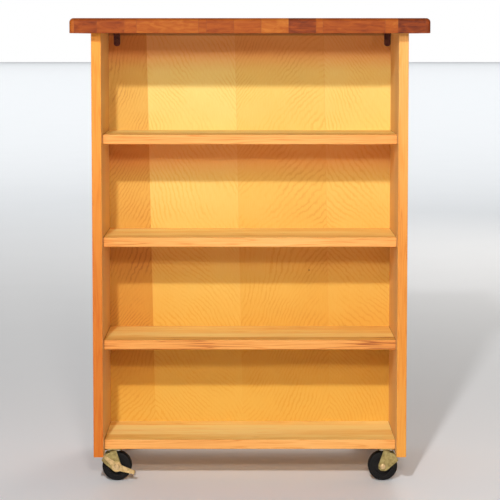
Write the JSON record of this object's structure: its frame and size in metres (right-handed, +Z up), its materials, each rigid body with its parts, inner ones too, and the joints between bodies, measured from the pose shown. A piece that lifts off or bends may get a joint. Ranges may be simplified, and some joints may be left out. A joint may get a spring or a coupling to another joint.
{
  "type": "butcher block shelf cart",
  "caption": "Tall two-sided open shelf cart with a thick butcher block top, plywood divider and swivel casters, some with brake levers.",
  "frame": {"origin": "on the floor under the middle of the cart", "axes": "+Z up, -Y towards the front that the shelves open to, +X to the right seen from the front"},
  "size_m": [0.686, 0.508, 0.911],
  "materials": {
    "block_top": "oiled, red-brown",
    "solid_maple": "clear lacquer",
    "birch_ply": "clear lacquer",
    "dowel_wood": "bare",
    "dark_steel": "dark brown",
    "yellow_zinc": "yellow zinc plate, dull",
    "zinc_steel": "zinc plate",
    "bright_steel": "polished",
    "black_moulding": "moulded",
    "black_tyre": "hard rubber"
  },
  "bodies": {
    "cart": {"bottom_board": "solid_maple", "bracket_front_left": "dark_steel", "bracket_front_right": "dark_steel", "bracket_rear_left": "dark_steel", "bracket_rear_right": "dark_steel", "bracket_screws": "dark_steel", "caster_front_left_kingpin": "bright_steel", "caster_front_left_plate": "yellow_zinc", "caster_front_right_kingpin": "bright_steel", "caster_front_right_plate": "yellow_zinc", "caster_rear_left_kingpin": "bright_steel", "caster_rear_left_plate": "yellow_zinc", "caster_rear_right_kingpin": "bright_steel", "caster_rear_right_plate": "yellow_zinc", "caster_screws": "zinc_steel", "divider_panel": "birch_ply", "dowels": "dowel_wood", "shelf_front_lower": "solid_maple", "shelf_front_middle": "solid_maple", "shelf_front_upper": "solid_maple", "shelf_rear_lower": "solid_maple", "shelf_rear_middle": "solid_maple", "shelf_rear_upper": "solid_maple", "side_panel_left": "solid_maple", "side_panel_right": "solid_maple", "top_strip_01": "block_top", "top_strip_02": "block_top", "top_strip_03": "block_top", "top_strip_04": "block_top", "top_strip_05": "block_top", "top_strip_06": "block_top", "top_strip_07": "block_top", "top_strip_08": "block_top", "top_strip_09": "block_top", "top_strip_10": "block_top", "top_strip_11": "block_top", "top_strip_12": "block_top", "top_strip_13": "block_top"},
    "yoke_front_left": {"caster_front_left_yoke": "yellow_zinc", "caster_front_left_axle": "bright_steel", "caster_front_left_balls": "bright_steel"},
    "wheel_front_left": {"caster_front_left_wheel_centre": "black_moulding", "caster_front_left_tyre": "black_tyre"},
    "lever_front_left": {"caster_front_left_brake_lever": "yellow_zinc"},
    "yoke_front_right": {"caster_front_right_yoke": "yellow_zinc", "caster_front_right_axle": "bright_steel", "caster_front_right_balls": "bright_steel"},
    "wheel_front_right": {"caster_front_right_wheel_centre": "black_moulding", "caster_front_right_tyre": "black_tyre"},
    "yoke_rear_right": {"caster_rear_right_yoke": "yellow_zinc", "caster_rear_right_axle": "bright_steel", "caster_rear_right_balls": "bright_steel"},
    "wheel_rear_right": {"caster_rear_right_wheel_centre": "black_moulding", "caster_rear_right_tyre": "black_tyre"},
    "lever_rear_right": {"caster_rear_right_brake_lever": "yellow_zinc"},
    "yoke_rear_left": {"caster_rear_left_yoke": "yellow_zinc", "caster_rear_left_axle": "bright_steel", "caster_rear_left_balls": "bright_steel"},
    "wheel_rear_left": {"caster_rear_left_wheel_centre": "black_moulding", "caster_rear_left_tyre": "black_tyre"}
  },
  "joints": [
    {"name": "swivel_front_left", "type": "hinge", "parent": "cart", "child": "yoke_front_left", "pos_m": [-0.269, -0.156, 0.061], "axis": [0, 0, 1], "continuous": true},
    {"name": "roll_front_left", "type": "hinge", "parent": "yoke_front_left", "child": "wheel_front_left", "pos_m": [-0.263, -0.156, 0.029], "axis": [0, 1, 0], "continuous": true},
    {"name": "brake_front_left", "type": "hinge", "parent": "yoke_front_left", "child": "lever_front_left", "pos_m": [-0.263, -0.156, 0.029], "axis": [0, -1, 0], "range_deg": [0, 35]},
    {"name": "swivel_front_right", "type": "hinge", "parent": "cart", "child": "yoke_front_right", "pos_m": [0.269, -0.156, 0.061], "axis": [0, 0, 1], "continuous": true},
    {"name": "roll_front_right", "type": "hinge", "parent": "yoke_front_right", "child": "wheel_front_right", "pos_m": [0.263, -0.156, 0.029], "axis": [0, 1, 0], "continuous": true},
    {"name": "swivel_rear_right", "type": "hinge", "parent": "cart", "child": "yoke_rear_right", "pos_m": [0.269, 0.156, 0.061], "axis": [0, 0, 1], "continuous": true},
    {"name": "roll_rear_right", "type": "hinge", "parent": "yoke_rear_right", "child": "wheel_rear_right", "pos_m": [0.263, 0.156, 0.029], "axis": [0, 1, 0], "continuous": true},
    {"name": "brake_rear_right", "type": "hinge", "parent": "yoke_rear_right", "child": "lever_rear_right", "pos_m": [0.263, 0.156, 0.029], "axis": [0, 1, 0], "range_deg": [0, 35]},
    {"name": "swivel_rear_left", "type": "hinge", "parent": "cart", "child": "yoke_rear_left", "pos_m": [-0.269, 0.156, 0.061], "axis": [0, 0, 1], "continuous": true},
    {"name": "roll_rear_left", "type": "hinge", "parent": "yoke_rear_left", "child": "wheel_rear_left", "pos_m": [-0.263, 0.156, 0.029], "axis": [0, 1, 0], "continuous": true}
  ]
}
